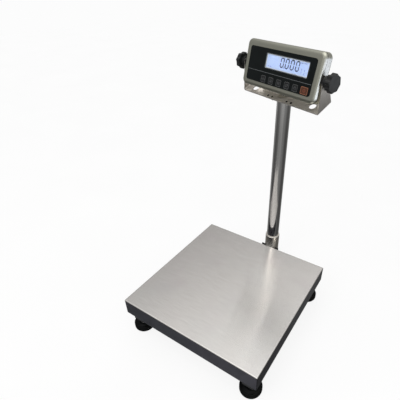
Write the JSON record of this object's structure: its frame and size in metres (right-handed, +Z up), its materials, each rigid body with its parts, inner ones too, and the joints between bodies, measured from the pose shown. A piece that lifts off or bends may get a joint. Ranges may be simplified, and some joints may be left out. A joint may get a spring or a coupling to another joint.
{
  "type": "animal weighing scale",
  "caption": "Bench scale with a square stainless pan on levelling feet and a tilting display indicator in a yoke on a rear column.",
  "frame": {"origin": "on the floor, under the middle of the whole scale", "axes": "+Z up, +Y to the back, towards the column, +X to the right seen from the front"},
  "size_m": [0.4, 0.5278, 0.6835],
  "materials": {
    "pan_steel": "satin",
    "satin_steel": "satin",
    "case_steel": "satin",
    "polished_steel": "polished",
    "socket_steel": "brushed",
    "frame_steel": "satin",
    "fastener_steel": "zinc plated",
    "cell_aluminium": "anodised",
    "membrane": "satin membrane",
    "dark_key": "embossed membrane",
    "power_key": "embossed membrane",
    "clear_window": "clear",
    "lcd": "backlit",
    "board": "solder mask",
    "battery_case": "moulded",
    "black_plastic": "moulded",
    "knob_plastic": "moulded",
    "black_rubber": "matte",
    "foot_rubber": "satin"
  },
  "bodies": {
    "base": {"base_rail_left": "frame_steel", "base_rail_right": "frame_steel", "base_front_tube": "frame_steel", "base_rear_tube": "frame_steel", "base_crossbeam": "frame_steel", "rail_end_plugs": "black_plastic", "foot_bushes": "fastener_steel", "foot_lock_nuts": "fastener_steel", "load_cell": "cell_aluminium", "load_cell_spacers": "frame_steel", "load_cell_bolts": "fastener_steel", "spider_plate": "frame_steel", "spider_beam_left": "frame_steel", "spider_beam_right": "frame_steel", "pan_bumpers": "black_rubber", "overload_stops": "fastener_steel", "overload_lock_nuts": "fastener_steel", "level_body": "black_plastic", "level_window": "clear_window", "column_bracket": "frame_steel", "bracket_bolts": "fastener_steel", "column_socket": "socket_steel", "clamp_screws": "fastener_steel"},
    "pan": {"pan": "pan_steel"},
    "column": {"column_tube": "polished_steel", "column_top_plate": "satin_steel", "yoke": "satin_steel", "yoke_screws": "fastener_steel"},
    "indicator": {"front_shell": "case_steel", "rear_shell": "case_steel", "case_gasket": "black_rubber", "case_screws": "fastener_steel", "overlay": "membrane", "display_window": "clear_window", "lcd_module": "lcd", "main_board": "board", "battery": "battery_case", "battery_strap": "satin_steel", "pivot_bosses": "fastener_steel", "pivot_washers": "black_rubber", "cable_glands": "black_plastic", "gland_nuts": "black_plastic"},
    "foot_front_left": {"foot_pad_front_left": "foot_rubber", "foot_stud_front_left": "fastener_steel"},
    "foot_front_right": {"foot_pad_front_right": "foot_rubber", "foot_stud_front_right": "fastener_steel"},
    "foot_rear_left": {"foot_pad_rear_left": "foot_rubber", "foot_stud_rear_left": "fastener_steel"},
    "foot_rear_right": {"foot_pad_rear_right": "foot_rubber", "foot_stud_rear_right": "fastener_steel"},
    "key_zero": {"key_zero": "dark_key"},
    "key_tare": {"key_tare": "dark_key"},
    "key_hold": {"key_hold": "dark_key"},
    "key_unit": {"key_unit": "dark_key"},
    "key_print": {"key_print": "dark_key"},
    "key_power": {"key_power": "power_key"},
    "knob_left": {"knob_left": "knob_plastic", "knob_stud_left": "fastener_steel"},
    "knob_right": {"knob_right": "knob_plastic", "knob_stud_right": "fastener_steel"}
  },
  "joints": [
    {"name": "pan_lift", "type": "slide", "parent": "base", "child": "pan", "axis": [0, 0, 1], "range_m": [0, 0.1]},
    {"name": "column_swivel", "type": "hinge", "parent": "base", "child": "column", "pos_m": [0, 0.2031, 0.108], "axis": [0, 0, 1], "range_deg": [-70, 110]},
    {"name": "indicator_tilt", "type": "hinge", "parent": "column", "child": "indicator", "pos_m": [-0.00517, 0.18891, 0.6247], "axis": [0.9397, -0.342, 0], "range_deg": [-35, 60]},
    {"name": "foot_screw_front_left", "type": "slide", "parent": "base", "child": "foot_front_left", "axis": [0, 0, 1], "range_m": [-0.008, 0.003]},
    {"name": "foot_screw_front_right", "type": "slide", "parent": "base", "child": "foot_front_right", "axis": [0, 0, 1], "range_m": [-0.008, 0.003]},
    {"name": "foot_screw_rear_left", "type": "slide", "parent": "base", "child": "foot_rear_left", "axis": [0, 0, 1], "range_m": [-0.008, 0.003]},
    {"name": "foot_screw_rear_right", "type": "slide", "parent": "base", "child": "foot_rear_right", "axis": [0, 0, 1], "range_m": [-0.008, 0.003]},
    {"name": "knob_turn_left", "type": "hinge", "parent": "indicator", "child": "knob_left", "pos_m": [-0.1433, 0.23919, 0.6247], "axis": [-0.9397, 0.342, 0], "continuous": true},
    {"name": "knob_turn_right", "type": "hinge", "parent": "indicator", "child": "knob_right", "pos_m": [0.13297, 0.13863, 0.6247], "axis": [0.9397, -0.342, 0], "continuous": true},
    {"name": "press_zero", "type": "slide", "parent": "indicator", "child": "key_zero", "axis": [0.3352, 0.9208, -0.1994], "range_m": [0, 0.0005], "stiffness_N_per_m": 3000, "springref_m": -0.0002},
    {"name": "press_tare", "type": "slide", "parent": "indicator", "child": "key_tare", "axis": [0.3352, 0.9208, -0.1994], "range_m": [0, 0.0005], "stiffness_N_per_m": 3000, "springref_m": -0.0002},
    {"name": "press_hold", "type": "slide", "parent": "indicator", "child": "key_hold", "axis": [0.3352, 0.9208, -0.1994], "range_m": [0, 0.0005], "stiffness_N_per_m": 3000, "springref_m": -0.0002},
    {"name": "press_unit", "type": "slide", "parent": "indicator", "child": "key_unit", "axis": [0.3352, 0.9208, -0.1994], "range_m": [0, 0.0005], "stiffness_N_per_m": 3000, "springref_m": -0.0002},
    {"name": "press_print", "type": "slide", "parent": "indicator", "child": "key_print", "axis": [0.3352, 0.9208, -0.1994], "range_m": [0, 0.0005], "stiffness_N_per_m": 3000, "springref_m": -0.0002},
    {"name": "press_power", "type": "slide", "parent": "indicator", "child": "key_power", "axis": [0.3352, 0.9208, -0.1994], "range_m": [0, 0.0005], "stiffness_N_per_m": 3000, "springref_m": -0.0002}
  ]
}
